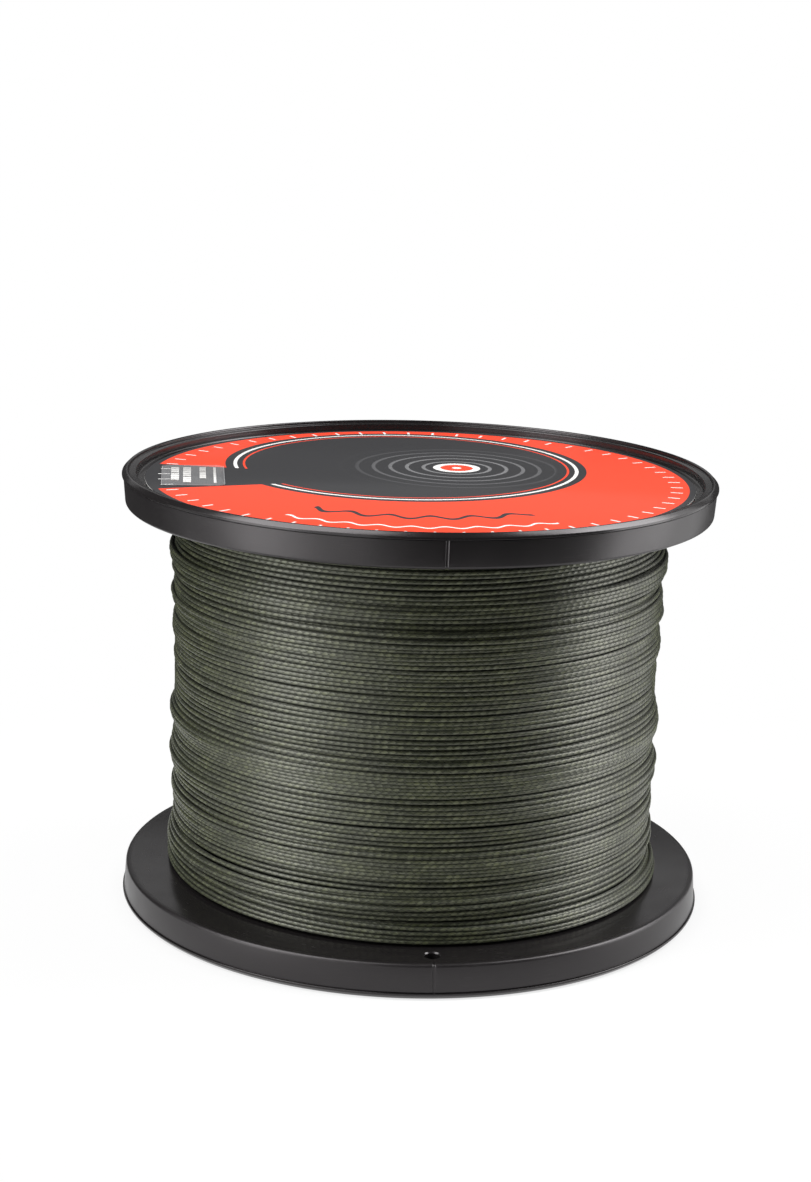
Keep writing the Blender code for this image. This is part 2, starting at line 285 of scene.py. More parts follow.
def edit(piece):
    """Opens edit mode on one piece with all of it selected."""
    pick(piece)
    bpy.ops.object.mode_set(mode="EDIT")
    bpy.ops.mesh.select_all(action="SELECT")
    return piece


def extrude(up, scale=None, centre=None, step="extrude_region_move"):
    """Extrudes what is selected by a height, and scales its new end about a centre."""
    getattr(bpy.ops.mesh, step)(TRANSFORM_OT_translate={"value": (0, 0, up)})
    if scale:
        bpy.ops.transform.resize(value=scale, center_override=centre)


def apply_place(piece):
    pick(piece)
    bpy.ops.object.transform_apply(location=True, rotation=True, scale=True)


def tidy_normals(piece):
    """Merges doubled points and turns every face outwards."""
    edit(piece)
    bpy.ops.mesh.remove_doubles(threshold=0.002 * MM)
    bpy.ops.mesh.normals_make_consistent(inside=False)
    deselect()


def close(piece):
    """Ends the modelling of a closed form and leaves its place in its mesh."""
    apply_place(piece)
    tidy_normals(piece)
    return piece


def smooth(piece, sharp=32):
    pick(piece)
    bpy.ops.object.shade_smooth_by_angle(angle=radians(sharp))


def modify(piece, name, sort, **settings):
    """Applies one modifier."""
    pick(piece)
    modifier = piece.modifiers.new(name, sort)
    for key, value in settings.items():
        setattr(modifier, key, value)
    bpy.ops.object.modifier_apply(modifier=modifier.name)


def boolean(piece, tool, operation):
    """Cuts or joins with another object, which is used up."""
    modify(piece, tool.name, "BOOLEAN", operation=operation, solver="EXACT", object=tool)
    bpy.data.objects.remove(tool, do_unlink=True)


def bevel(piece, width, steps):
    settings = {"limit_method": "ANGLE", "angle_limit": radians(40)}
    modify(piece, "edges", "BEVEL", width=width, segments=steps, **settings)


def joined(pieces, name):
    deselect()
    for piece in pieces:
        piece.select_set(True)
    bpy.context.view_layer.objects.active = pieces[0]
    bpy.ops.object.join()
    pieces[0].name = name
    apply_place(pieces[0])
    return pieces[0]


def dress(piece, material, slot, *nodes):
    """Finishes a piece: its material, its body and the nodes that it stands for; the slot argument is
    not used.
    """
    piece.data.name = piece.name
    piece.data.materials.clear()
    piece.data.materials.append(material)
    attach(piece, BODY)
    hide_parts(*nodes)


def arc(centre, radius, start, end, steps):
    """Points on a circle from angle start to angle end, both included."""
    turned = [start + (end - start) * i / steps for i in range(steps + 1)]
    return [(centre[0] + radius * cos(a), centre[1] + radius * sin(a)) for a in turned]


def rounded(corners, steps=5):
    """A closed outline of (x, y, round) corners, each round one drawn as an arc."""
    outline = []
    for index, (x, y, radius) in enumerate(corners):
        corner = Vector((x, y))
        before, after = corners[index - 1], corners[(index + 1) % len(corners)]
        to_before = Vector((before[0] - x, before[1] - y)).normalized()
        to_after = Vector((after[0] - x, after[1] - y)).normalized()
        half = to_before.angle(to_after) / 2
        reach = radius / np.tan(half)
        middle = corner + (to_before + to_after).normalized() * radius / sin(half)
        first = corner + to_before * reach - middle
        last = corner + to_after * reach - middle
        start = atan2(first.y, first.x)
        sweep = (atan2(last.y, last.x) - start + pi) % (2 * pi) - pi
        outline += arc(middle, radius, start, start + sweep, steps)
    return outline


def turn(name, profile, segments):
    """Draws a closed profile of (radius, height) points as rings round the Z axis.

    A circle is extruded and resized from one point of the profile to the next.
    """
    radius, height = profile[0]
    piece = ring(name, segments, radius, height, fill="NOTHING")
    for next_radius, next_height in profile[1:] + profile[:1]:
        scale = next_radius / radius
        centre = (0, 0, next_height)
        extrude(next_height - height, (scale, scale, 1), centre, "extrude_edges_move")
        radius, height = next_radius, next_height
    return close(piece)


# Shader helpers


def operation(name, turned=False):
    """A shader Math node as a method, with its two values swapped if turned."""

    def act(self, *others):
        return self.wiring.math(name, *((*others, self) if turned else (self, *others)))

    return act


class Value:
    """What a socket gives, used like a number; | takes the larger of two and & the smaller."""

    __add__ = __radd__ = operation("ADD")
    __sub__ = operation("SUBTRACT")
    __rsub__ = operation("SUBTRACT", turned=True)
    __mul__ = __rmul__ = operation("MULTIPLY")
    __truediv__ = operation("DIVIDE")
    __gt__ = operation("GREATER_THAN")
    __lt__ = operation("LESS_THAN")
    __or__ = operation("MAXIMUM")
    __and__ = operation("MINIMUM")
    __abs__ = operation("ABSOLUTE")
    sine = operation("SINE")
    cosine = operation("COSINE")
    floor = operation("FLOOR")
    fraction = operation("FRACT")
    modulo = operation("FLOORED_MODULO")
    pingpong = operation("PINGPONG")

    def __init__(self, wiring, socket):
        self.wiring = wiring
        self.socket = socket

    def ease(self, low, high, start=0.0, end=1.0):
        """start below low and end above high, with a smooth step between."""
        inputs = {"Value": self, "From Min": low, "From Max": high, "To Min": start, "To Max": end}
        return self.wiring.get("ShaderNodeMapRange", inputs, interpolation_type="SMOOTHSTEP")

    def fall(self, low, high):
        """1 below low and 0 above high."""
        return self.ease(low, high, 1.0, 0.0)

    def band(self, low, high, soft):
        """1 between low and high, fading out over soft."""
        return self.ease(low - soft, low) * self.fall(high, high + soft)


class Wiring:
    """Adds nodes to one tree and joins each to what feeds it."""

    def __init__(self, tree):
        self.tree = tree
        self.column = 0

    def add(self, kind, inputs=None, **settings):
        node = self.tree.nodes.new(kind)
        node.location = (self.column * 170, -(self.column % 3) * 120)
        self.column += 1
        for name, value in settings.items():
            setattr(node, name, value)
        for name, value in (inputs or {}).items():
            self.feed(node.inputs[name], value)
        return node

    def feed(self, socket, value):
        if isinstance(value, Value):
            self.tree.links.new(value.socket, socket)
        else:
            socket.default_value = value

    def into(self, node, **values):
        """Feeds a node's sockets by their names in small letters."""
        for name, value in values.items():
            self.feed(node.inputs[name.replace("_", " ").title()], value)
        return {socket.name: Value(self, socket) for socket in node.outputs}

    def get(self, kind, inputs=None, output=0, **settings):
        """Adds a node and gives one of its outputs."""
        return Value(self, self.add(kind, inputs, **settings).outputs[output])

    def use(self, group, **inputs):
        """Adds a shared node group and gives all its outputs."""
        node = self.add("ShaderNodeGroup", node_tree=bpy.data.node_groups[group])
        return self.into(node, **inputs)

    def math(self, operation, *values):
        return self.get("ShaderNodeMath", dict(enumerate(values)), operation=operation)

    def mix(self, factor, first, second, blend="MIX"):
        inputs = {0: factor}
        for socket, value in ((6, first), (7, second)):
            inputs[socket] = value if isinstance(value, Value) else (*value, 1.0)
        return self.get("ShaderNodeMix", inputs, 2, data_type="RGBA", blend_type=blend)

    def noise(self, vector, scale, detail=2.0):
        inputs = {"Vector": vector, "Scale": scale, "Detail": detail}
        return self.get("ShaderNodeTexNoise", inputs, "Fac")

    def place(self):
        return self.get("ShaderNodeTexCoord", output="Object")

    def vector(self, *parts):
        return self.get("ShaderNodeCombineXYZ", dict(enumerate(parts)))

    def split(self, vector):
        node = self.add("ShaderNodeSeparateXYZ", {0: vector})
        return [Value(self, socket) for socket in node.outputs]

    def bump(self, height, strength, distance):
        inputs = {"Height": height, "Strength": strength, "Distance": distance}
        return self.get("ShaderNodeBump", inputs)


def new_group(name, outputs, vectors=(), **inputs):
    """A node group with a Vector input, float inputs and outputs, and some vector outputs."""
    tree = bpy.data.node_groups.new(name, "ShaderNodeTree")
    tree.interface.new_socket("Vector", in_out="INPUT", socket_type="NodeSocketVector")
    for socket, default in inputs.items():
        made = tree.interface.new_socket(
            socket.replace("_", " ").title(), in_out="INPUT", socket_type="NodeSocketFloat"
        )
        made.default_value = default
    for names, kind in ((outputs, "NodeSocketFloat"), (vectors, "NodeSocketVector")):
        for socket in names:
            tree.interface.new_socket(socket, in_out="OUTPUT", socket_type=kind)
    wiring = Wiring(tree)
    return wiring, wiring.into(wiring.add("NodeGroupInput"))


def new_material(name, **settings):
    """A material with its Principled shader, and the constants set on that shader's sockets."""
    material = bpy.data.materials.new(name)
    material.use_nodes = True
    shader = material.node_tree.nodes["Principled BSDF"]
    for socket, value in settings.items():
        shader.inputs[socket.replace("_", " ")].default_value = value
    return material, Wiring(material.node_tree), shader


def around_axis_group():
    """Where a point lies round the spool's axis: distance, turn, height and an unrolled vector."""
    wiring, start = new_group("around_axis", ("Radius", "Turn", "Height"), ("Unrolled",))
    x, y, z = wiring.split(start["Vector"])
    radius = wiring.math("SQRT", x * x + y * y)
    turned = wiring.math("ARCTAN2", y, x)
    unrolled = wiring.vector(turned * FLANGE_RADIUS, radius, z)
    end = wiring.add("NodeGroupOutput")
    wiring.into(end, radius=radius, turn=turned, height=z, unrolled=unrolled)


def fine_grain_group():
    """Cloudy and fine variation of a surface, about one half, for roughness and bump."""
    wiring, start = new_group("fine_grain", ("Cloud", "Grain"), cloud_scale=300.0, grain_scale=6000.0)
    cloud = wiring.noise(start["Vector"], start["Cloud Scale"], detail=3.0)
    grain = wiring.noise(start["Vector"], start["Grain Scale"], detail=1.0)
    wiring.into(wiring.add("NodeGroupOutput"), cloud=cloud, grain=grain)


def handling_group():
    """Hairline scuffs and specks of dust, as masks from 0 to 1."""
    wiring, start = new_group("handling", ("Scuff", "Speck"), length=60.0, amount=0.5)
    x, y, z = wiring.split(start["Vector"])
    across = wiring.vector(x * start["Length"], y * 9000.0, z * 9000.0)
    hair = wiring.noise(across, 1.0, detail=1.0)
    patch = wiring.noise(start["Vector"], 260.0)
    worn = hair.ease(0.62, 0.72) * patch.ease(0.45, 0.65)
    dots = wiring.add("ShaderNodeTexVoronoi", {"Scale": 900.0}, feature="F1")
    dots = wiring.into(dots, vector=start["Vector"])
    speck = dots["Distance"].fall(0.03, 0.06) * (dots["Color"] > 0.86)
    end = wiring.add("NodeGroupOutput")
    wiring.into(end, scuff=worn * start["Amount"], speck=speck * start["Amount"])


def braid_group():
    """Picks of a round braid. X counts picks along the strand, and Y runs once round it.

    Y is one half on the strand's outer side. Edge is 1 where it meets its neighbours,
    and follows the picks there; the braid material paints shade there and where Height is low.
    """
    wiring, start = new_group("braid_picks", ("Height", "Tone", "Edge"), strands=2.0)
    along, around, _ = wiring.split(start["Vector"])
    swing = around * start["Strands"]
    cells, ridges = [], []
    for side in (along + swing, along - swing):
        cells.append(side.floor())
        centred = side.fraction() * 2.0 - 1.0
        ridges.append(1.0 - centred * centred)
    over = (cells[0] + cells[1]).modulo(2.0)
    crowns = [ridge * 0.45 + 0.55 for ridge in ridges]
    height = ridges[0] * crowns[1] * (1.0 - over) + ridges[1] * crowns[0] * over
    cell = {"Vector": wiring.vector(*cells, 0.5)}
    tone = wiring.get("ShaderNodeTexWhiteNoise", cell, "Value", noise_dimensions="2D")
    outward = around - 0.5
    phase = ((outward > 0.0) * 0.5 + along) * (2 * pi)
    reach = abs(outward) + phase.sine() * 0.06
    end = wiring.add("NodeGroupOutput")
    wiring.into(end, height=height, tone=tone, edge=reach.ease(0.1, 0.215))


def moulding_material(settings):
    """Satin black plastic, with a polished lip, a sleek web, fine grain and light scuffs."""
    material, wiring, shader = new_material(
        "black_moulding", Specular_IOR_Level=0.5, Specular_Tint=(1.0, 0.95, 0.97, 1.0)
    )
    place = wiring.place()
    axis = wiring.use("around_axis", vector=place)
    grain = wiring.use("fine_grain", vector=place, cloud_scale=160.0, grain_scale=5200.0)
    worn = wiring.use("handling", vector=axis["Unrolled"], length=350.0, amount=0.6)
    from_end = axis["Height"] & (SPOOL_HEIGHT - axis["Height"])
    lip = from_end.fall(settings.lip_height, settings.lip_height + 0.05 * MM)
    outer = axis["Radius"].ease(FLANGE_RADIUS - 2.2 * MM, FLANGE_RADIUS - 1.9 * MM)
    polished = lip * outer
    plain = 1.0 - polished
    rim = FLANGE_RADIUS - settings.band_step - settings.band_draft - settings.band_round
    web = axis["Radius"].ease(rim - 0.5 * MM, rim + 0.2 * MM, settings.sheen, settings.satin)
    rough = polished * settings.polish + plain * web
    rough += (grain["Cloud"] - 0.5) * 0.16 + worn["Scuff"] * 0.12
    marks = worn["Speck"] | worn["Scuff"] * 0.35
    ink = wiring.mix(marks, settings.black, [5.0 * part for part in settings.black])
    relief = wiring.bump(grain["Grain"] * plain, 0.22, 0.02 * MM)
    wiring.into(shader, roughness=rough, base_color=ink, normal=relief)
    return material


def braid_material(settings):
    """Olive braid: picks with pale and moss filaments, with painted shade between the picks and along
    the edges where turns meet.

    The highlight is drawn out across the strand, as its lengthwise filaments do.
    """
    material, wiring, shader = new_material(
        "braided_line",
        Specular_IOR_Level=0.9,
        Specular_Tint=(1.0, 1.0, 0.9, 1.0),
        Anisotropic=0.8,
        Anisotropic_Rotation=0.25,
    )
    place = wiring.get("ShaderNodeUVMap", uv_map="lay")
    braid = wiring.use("braid_picks", vector=place, strands=2.0)
    along, around, _ = wiring.split(place)
    drift = wiring.noise(wiring.vector(along * 0.16, 0.0, 0.0), 1.0, 4.0)
    fibre = wiring.noise(wiring.vector(along * 1.7, around * 14.0, 3.0), 1.0)
    thin = [0.6 * part for part in settings.olive]
    mossy = drift.ease(0.42, 0.6) * braid["Tone"].ease(0.1, 0.9, 0.3, 1.0)
    flecked = braid["Tone"].ease(0.0, 1.0, 0.25, 1.0) * fibre.ease(0.36, 0.64)
    # Painted shade: the body colour turns to the colour set for between the picks, in the hollows
    # between picks and along the strand's sides where turns meet.
    shade = braid["Height"].ease(0.05, 0.55, 0.92, 0.0) | braid["Edge"] * 0.85
    body = wiring.mix(fibre.ease(0.3, 0.7), thin, settings.olive)
    body = wiring.mix(mossy * 0.6, body, settings.moss)
    body = wiring.mix(flecked * 0.85, body, settings.pale)
    body = wiring.mix(shade, body, settings.dark)
    rough = fibre.ease(0.2, 0.8, 0.32, 0.46) | shade
    relief = wiring.bump(fibre * 0.2 + braid["Height"], 0.45, 0.05 * MM)
    wiring.into(shader, base_color=body, roughness=rough, normal=relief)
    return material


# The moulded halves


def half_profile(sizes, has_spigot):
    """One half as (radius, height, round) corners, standing on its outer end."""
    lip = FLANGE_RADIUS
    ledge = lip - sizes.lip_width
    recess = ledge - sizes.ledge_width
    band = lip - sizes.band_step
    groove = lip - sizes.parting_depth
    parting = sizes.lip_height + sizes.parting_width
    half_height = (SPOOL_HEIGHT - sizes.joint_gap) / 2
    bore_of_drum = sizes.barrel_radius - sizes.barrel_wall
    hub = sizes.bore_radius + sizes.hub_wall
    drum_floor = sizes.recess_depth + sizes.end_wall
    corners = [
        (sizes.bore_radius, sizes.recess_depth, sizes.bore_round),
        (recess, sizes.recess_depth, 0.3 * MM),
        (recess, sizes.ledge_depth, 0.12 * MM),
        (ledge, sizes.ledge_depth, 0.1 * MM),
        (ledge, 0, 0.22 * MM),
        (lip - sizes.lip_slant, 0, sizes.lip_ease),
        (lip, sizes.lip_slant, sizes.lip_ease),
        (lip, sizes.lip_height, 0.07 * MM),
        (groove, sizes.lip_height, 0.03 * MM),
        (groove, parting, 0.03 * MM),
        (band, parting, 0.06 * MM),
        (band - sizes.band_draft, sizes.flange_thickness, sizes.band_round),
        (sizes.barrel_radius, sizes.flange_thickness, sizes.barrel_fillet),
        (sizes.barrel_radius, half_height, 0.1 * MM),
    ]
    spigot = bore_of_drum + sizes.spigot_wall
    if has_spigot:
        tip = half_height + sizes.spigot_height
        rounds = 0.1 * MM, 0.3 * MM, 0.2 * MM
    else:
        spigot += sizes.joint_gap
        tip = half_height - sizes.spigot_height - sizes.joint_gap
        rounds = 0.15 * MM, 0.1 * MM, 0.1 * MM
    corners += [
        (spigot, half_height, rounds[0]),
        (spigot, tip, rounds[1]),
        (bore_of_drum, tip, rounds[2]),
        (bore_of_drum, drum_floor, 0.4 * MM),
        (hub + sizes.hub_draft, drum_floor, 0.4 * MM),
        (hub, half_height, 0.2 * MM),
        (sizes.bore_radius, half_height, 0.2 * MM),
    ]
    return rounded(corners)


def drum_ribs(sizes, cuts):
    """Radial walls between the hub tube and the barrel, as one tool."""
    inner = sizes.bore_radius + sizes.hub_wall - cuts.rib_root
    outer = sizes.barrel_radius - sizes.barrel_wall + cuts.rib_root
    low = sizes.recess_depth + sizes.end_wall - cuts.rib_root
    half_height = (SPOOL_HEIGHT - sizes.joint_gap) / 2
    high = half_height - sizes.spigot_height - sizes.joint_gap - cuts.rib_setback
    middle = (inner + outer) / 2
    ribs = []
    for index in range(cuts.ribs):
        turned = 2 * pi * (index + 0.5) / cuts.ribs
        deselect()
        bpy.ops.mesh.primitive_cube_add(
            size=1,
            location=(middle * cos(turned), middle * sin(turned), (low + high) / 2),
            rotation=(0, 0, turned),
            scale=(outer - inner, cuts.rib_width, high - low),
        )
        ribs.append(bpy.context.object)
    return joined(ribs, "drum_ribs")


def corner_arc(distance, turned, corner, start):
    """A quarter-round corner centred at that distance and turn, without its two ends."""
    centre = (distance * cos(turned), distance * sin(turned))
    return arc(centre, corner, turned + start, turned + start + pi / 2, 6)[1:-1]


def pocket_tools(sizes, cuts):
    """Cored pockets between the spokes, with a little draft and a flared mouth, as one tool."""
    inside = sizes.barrel_radius + cuts.pocket_inside
    outside = FLANGE_RADIUS - sizes.lip_width - sizes.ledge_width - cuts.pocket_outside
    corner = cuts.pocket_round
    trim = cuts.spoke_width / 2 + corner
    outer_reach = pi / cuts.spokes - trim / (outside - corner)
    inner_reach = pi / cuts.spokes - trim / (inside + corner)
    outline = arc((0, 0), outside, -outer_reach, outer_reach, 10)
    outline += corner_arc(outside - corner, outer_reach, corner, 0)
    outline += corner_arc(inside + corner, inner_reach, corner, pi / 2)
    outline += arc((0, 0), inside, inner_reach, -inner_reach, 6)
    outline += corner_arc(inside + corner, -inner_reach, corner, pi)
    outline += corner_arc(outside - corner, -outer_reach, corner, -pi / 2)
    floor = sizes.recess_depth + cuts.pocket_depth
    mesh = bpy.data.meshes.new("pocket")
    mesh.from_pydata([(x, y, floor) for x, y in outline], [], [range(len(outline))])
    pocket = edit(put("pocket", mesh))
    middle = ((inside + outside) / 2, 0, 0)
    flare = 0.18 * MM
    past = 1 * MM
    for drop, draft in ((cuts.pocket_depth - flare, 0.06 * MM), (flare + past, flare + past)):
        wider = (1 + 2 * draft / (outside - inside), 1 + 2 * draft / (2 * outside * outer_reach), 1)
        extrude(-drop, wider, middle)
    close(pocket)
    copies = [pocket] + [put("pocket", pocket.data.copy()) for _ in range(1, cuts.spokes)]
    for index, copy in enumerate(copies):
        copy.rotation_euler.z = 2 * pi * (index + 0.5) / cuts.spokes
    return joined(copies, "pockets")


def keeper_distance(sizes, cuts):
    return FLANGE_RADIUS - sizes.lip_width - sizes.ledge_width - cuts.hole_inset


def keeper_hole(sizes, cuts):
    """A drill with a small flare where it meets each face of the web."""
    radius = cuts.hole_diameter / 2
    flare = 0.16 * MM
    low, high = sizes.recess_depth, sizes.flange_thickness
    past = 1 * MM
    stations = (
        (low - past, radius + flare + past),
        (low + flare, radius),
        (high - flare, radius),
        (high + past, radius + flare + past),
    )
    away = keeper_distance(sizes, cuts)
    drill = ring("keeper_hole", 40, stations[0][1], stations[0][0], away)
    for (height, radius_now), (next_height, next_radius) in zip(stations, stations[1:]):
        scale = next_radius / radius_now
        extrude(next_height - height, (scale, scale, 1), (0, -away, next_height))
    return close(drill)


def groove_tool(sizes, cuts):
    """A round bar that follows the rim from the keeper's hole down to the parting line."""
    lift = cuts.groove_lift
    band = FLANGE_RADIUS - sizes.band_step - sizes.band_draft
    edge = (band - sizes.band_round, sizes.flange_thickness - sizes.band_round)
    path = [(keeper_distance(sizes, cuts), sizes.flange_thickness + lift)]
    path += arc(edge, sizes.band_round + lift, pi / 2, 0, 10)
    path.append((band + sizes.band_draft + lift, sizes.lip_height + 0.5 * sizes.parting_width))
    curve = bpy.data.curves.new("groove", "CURVE")
    curve.dimensions = "3D"
    curve.bevel_depth = cuts.groove_width / 2
    curve.bevel_resolution = 6
    curve.use_fill_caps = True
    spline = curve.splines.new("POLY")
    spline.points.add(len(path) - 1)
    for point, (away, height) in zip(spline.points, path):
        point.co = (0, -away, height, 1)
    pick(put("groove", curve))
    bpy.ops.object.convert(target="MESH")
    return close(bpy.context.object)


def spool_half(name, sizes, cuts, has_spigot):
    """One moulding, standing on its outer end, with its line keeper towards -Y."""
    half = turn(name, half_profile(sizes, has_spigot), sizes.segments)
    boolean(half, drum_ribs(sizes, cuts), "UNION")
    for tool in (pocket_tools, keeper_hole, groove_tool):
        boolean(half, tool(sizes, cuts), "DIFFERENCE")
    half.rotation_euler.z = cuts.keeper_turn
    return half


class SPOOL_OT_halves(bpy.types.Operator):
    """Models the two black mouldings of the spool"""

    bl_idname = "spool.halves"
    bl_label = "Moulded Halves"

    def execute(self, context):
        sizes, cuts = context.scene.spool_moulding, context.scene.spool_cuts
        material = moulding_material(sizes)
        lower = spool_half("lower_half", sizes, cuts, has_spigot=True)
        upper = spool_half("upper_half", sizes, cuts, has_spigot=False)
        upper.rotation_euler = (0, pi, cuts.keeper_turn)
        upper.location.z = SPOOL_HEIGHT
        for half, node in ((lower, "lower_spool_half"), (upper, "upper_spool_half")):
            apply_place(half)
            smooth(half)
            dress(half, material, "black_moulding", node)
        return {"FINISHED"}


# The wound line


def wander(rng, size, spacing):
    """Smooth random values about zero, with a new one every so many samples."""
    knots = rng.normal(size=int(size / spacing) + 3)
    place = np.arange(size) / spacing
    before = place.astype(int)
    part = place - before
    part = part * part * (3 - 2 * part)
    return knots[before] * (1 - part) + knots[before + 1] * part


def blur(values, reach):
    """Averages along the line over a short stretch, with the ends held."""
    kernel = np.hanning(2 * reach + 3)[1:-1]
    padded = np.pad(values, reach, mode="edge")
    return np.convolve(padded, kernel / kernel.sum(), mode="valid")


def lay_heights(rng, line, low, high, turns):
    """Heights of one layer laid upwards, as an array of turns by steps.

    Every turn strays a little. Turns that come too close push each other apart, and
    none leaves a wide gap, so they gather in twos and threes.
    """
    size = turns * line.steps
    place = np.arange(size) / line.steps
    heights = low + (high - low) * np.clip((place - 0.5) / (turns - 1), 0, 1)
    for spacing, amount in ((0.09, 0.45), (0.25, 1.0), (4.5, 1.2)):
        heights += amount * line.lay_error * wander(rng, size, line.steps * spacing)
    for attempt in range(LAY_ROUNDS):
        rows = heights.reshape(turns, line.steps)
        apart = np.diff(rows, axis=0)
        push = np.clip(line.squeeze - apart, 0, None) - np.clip(apart - line.slack, 0, None)
        rows[1:] += push / 2
        rows[:-1] -= push / 2
        heights = np.clip(rows.ravel(), low, high)
        if attempt % 6 == 0:
            heights = blur(heights, 3)
    return blur(heights, 2).reshape(turns, line.steps)


def ridges(rng, line, heights, low):
    """What the traverse adds to the radius: rounded ridges with narrow valleys between."""
    turned = np.broadcast_to(2 * pi * np.arange(line.steps) / line.steps, heights.shape)
    total = np.zeros_like(heights)
    for wide, tall in ((1.0, 1.0), (0.34, 0.5)):
        mean_width, mean_height = wide * line.ridge_width, tall * line.ridge_height
        widths = mean_width * rng.uniform(0.55, 1.45, size=RIDGES_DRAWN)
        valleys = low - widths[0] * rng.uniform() + np.concatenate(([0], np.cumsum(widths)))
        crests = mean_height * rng.uniform(0.55, 1.0, size=RIDGES_DRAWN)
        phases = rng.uniform(0, 2 * pi, size=RIDGES_DRAWN + 1)
        added = np.zeros_like(heights)
        for index in range(RIDGES_DRAWN):
            start = valleys[index] + 0.6 * MM * np.sin(turned + phases[index])
            end = valleys[index + 1] + 0.6 * MM * np.sin(turned + phases[index + 1])
            across = np.clip(2 * (heights - start) / np.maximum(end - start, MM) - 1, -1, 1)
            swing = 0.75 + 0.25 * np.sin(2 * turned + phases[index])
            dip = 0.75 + 0.25 * np.sin(3 * turned + 5 * phases[index])
            crest = np.where(np.abs(across) < 1, crests[index] * swing * (1 - dip * across**2), 0)
            added = np.maximum(added, crest)
        total += added - 0.5 * mean_height
    return total


def bed_down(heights, line, under_heights, under_radii):
    """Radii at which a layer rests in and over the turns under it."""
    radii = np.empty_like(heights)
    for step in range(line.steps):
        apart = np.abs(heights[:, None, step] - under_heights[None, :, step])
        lift = np.sqrt(np.clip(line.bed**2 - apart**2, 0, None))
        on_top = np.where(apart < line.bed, under_radii[None, :, step] + lift, 0)
        radii[:, step] = on_top.max(axis=1)
    path = radii.ravel()
    lowest = np.median(path[path > 0]) - line.bed * 0.45
    path = np.maximum(path, lowest)
    raised = np.maximum.reduce([np.roll(path, shift) for shift in (-1, 0, 1)])
    return blur(raised, 3).reshape(heights.shape)


def strand(name, heights, radii, line, picks_before=0.0):
    """One unbroken tube along a layer, with UVs that count its picks.

    The tube starts and ends at the back. Its seam lies on its inner side.
    """
    turned = pi / 2 + 2 * pi * np.arange(heights.size) / line.steps
    outward = np.stack((np.cos(turned), np.sin(turned), np.zeros_like(turned)), axis=1)
    centres = outward * radii.reshape(-1, 1)
    centres[:, 2] = heights.ravel()
    ahead = np.gradient(centres, axis=0)
    spans = np.linalg.norm(np.diff(centres, axis=0), axis=1)
    ahead /= np.linalg.norm(ahead, axis=1)[:, None]
    aside = np.cross(ahead, outward)
    aside /= np.linalg.norm(aside, axis=1)[:, None]
    sides = line.sides
    corners = pi + 2 * pi * np.arange(sides) / sides
    thick = 0.5 * line.strand_thickness * np.cos(corners)
    wide = 0.5 * line.strand_width * np.sin(corners)
    points = centres[:, None] + outward[:, None] * thick[:, None] + aside[:, None] * wide[:, None]
    low = np.arange(len(centres) - 1)[:, None] * sides
    side = np.arange(sides)[None]
    after = (side + 1) % sides
    high = low + sides
    quads = np.stack((low + side, high + side, high + after, low + after), axis=2)
    faces = quads.reshape(-1, 4).tolist()
    last = (len(centres) - 1) * sides
    faces.append(list(range(sides)))
    faces.append(list(range(last + sides - 1, last - 1, -1)))
    mesh = bpy.data.meshes.new(name)
    mesh.from_pydata(points.reshape(-1, 3).tolist(), [], faces)
    along = picks_before + np.concatenate(([0], np.cumsum(spans))) / line.pick_length
    place = np.zeros(quads.shape + (2,))
    place[..., 0] = np.stack((along[:-1], along[1:], along[1:], along[:-1]), axis=1)[:, None]
    place[..., 1] = np.concatenate([side, side, side + 1, side + 1]).T[None] / sides
    flat = np.zeros((len(mesh.loops), 2), np.float32)
    flat[: place.size // 2] = place.reshape(-1, 2)
    mesh.uv_layers.new(name="lay").data.foreach_set("uv", flat.ravel())
    mesh.shade_smooth()
    return put(name, mesh), along[-1]


def inner_pack(line, radius):
    """The layers under the modelled strands, as one ribbed ring in the same braid."""
    low, high = CORE_LOW.z, CORE_HIGH.z
    points = int((high - low) / line.pitch) * 4
    outline = [(PACK_BORE, high), (PACK_BORE, low)]
    for index in range(points + 1):
        height = low + (high - low) * index / points
        outline.append((radius - 0.1 * MM * (1 - abs(sin(pi * index / 4))), height))
    pack = turn("line_inner_layers", outline, line.steps)
    pack.data.uv_layers.new(name="lay")
    return pack


def last_heights(rng, line, low):
    """The turns laid last: apart on the left, and closing up towards the right."""
    turned = pi / 2 + 2 * pi * np.arange(line.steps) / line.steps
    spread = 0.5 + 0.5 * np.cos(turned - pi)
    spacing = line.strand_width * (1.0 + spread**3)
    rows = low + np.arange(line.extra_turns)[:, None] * spacing[None]
    path = rows.ravel() + 0.5 * line.lay_error * wander(rng, rows.size, line.steps * 0.3)
    return blur(np.maximum(path, low), 4).reshape(rows.shape)


